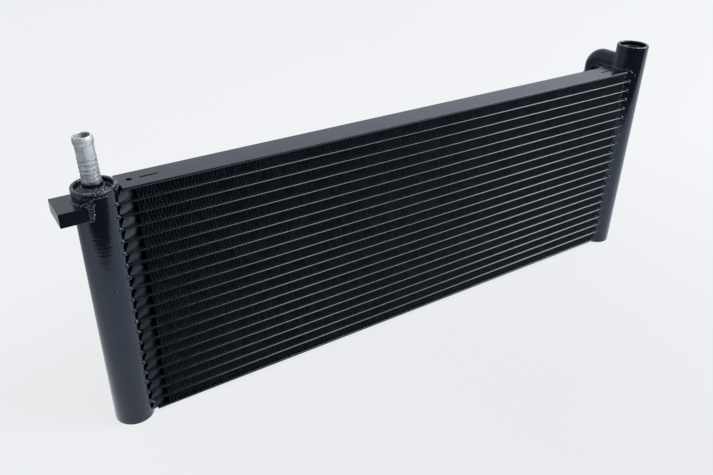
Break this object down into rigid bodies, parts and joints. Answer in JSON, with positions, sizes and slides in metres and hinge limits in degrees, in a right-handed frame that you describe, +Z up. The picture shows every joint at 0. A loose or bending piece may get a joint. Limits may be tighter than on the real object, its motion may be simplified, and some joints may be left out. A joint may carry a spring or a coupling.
{
  "type": "hydraulic oil cooler",
  "caption": "Slim black heat exchanger: a finned flat-tube core between two upright round tanks, with a hose barb, a bent outlet pipe and a side mounting lug.",
  "frame": {"origin": "middle of the footprint, on the floor that the two tanks stand on", "axes": "+X along the flat tubes from the tank with the lug to the tank with the elbow, +Y towards the elbow's side, +Z up along the tanks"},
  "size_m": [0.5716, 0.067, 0.2328],
  "materials": {
    "tank_paint": "gloss black paint over aluminium",
    "tube_paint": "satin black paint over aluminium",
    "fin_paint": "thin matt black paint over aluminium",
    "bare_aluminium": "bare, turned"
  },
  "bodies": {
    "root": {"bottom_side_plate": "tank_paint", "fin_row_01": "fin_paint", "fin_row_02": "fin_paint", "fin_row_03": "fin_paint", "fin_row_04": "fin_paint", "fin_row_05": "fin_paint", "fin_row_06": "fin_paint", "fin_row_07": "fin_paint", "fin_row_08": "fin_paint", "fin_row_09": "fin_paint", "fin_row_10": "fin_paint", "fin_row_11": "fin_paint", "fin_row_12": "fin_paint", "fin_row_13": "fin_paint", "fin_row_14": "fin_paint", "fin_row_15": "fin_paint", "fin_row_16": "fin_paint", "fin_row_17": "fin_paint", "fin_row_18": "fin_paint", "fin_row_19": "fin_paint", "fin_row_20": "fin_paint", "flat_tube_01": "tube_paint", "flat_tube_02": "tube_paint", "flat_tube_03": "tube_paint", "flat_tube_04": "tube_paint", "flat_tube_05": "tube_paint", "flat_tube_06": "tube_paint", "flat_tube_07": "tube_paint", "flat_tube_08": "tube_paint", "flat_tube_09": "tube_paint", "flat_tube_10": "tube_paint", "flat_tube_11": "tube_paint", "flat_tube_12": "tube_paint", "flat_tube_13": "tube_paint", "flat_tube_14": "tube_paint", "flat_tube_15": "tube_paint", "flat_tube_16": "tube_paint", "flat_tube_17": "tube_paint", "flat_tube_18": "tube_paint", "flat_tube_19": "tube_paint", "inlet_collar": "tank_paint", "inlet_hose_barb": "bare_aluminium", "left_lower_cap": "tank_paint", "left_tank": "tank_paint", "left_upper_cap": "tank_paint", "mounting_lug": "tank_paint", "outlet_collar": "tank_paint", "outlet_elbow": "tank_paint", "outlet_hose_barb": "bare_aluminium", "right_lower_cap": "tank_paint", "right_tank": "tank_paint", "right_upper_cap": "tank_paint", "top_side_plate": "tank_paint"}
  },
  "joints": []
}
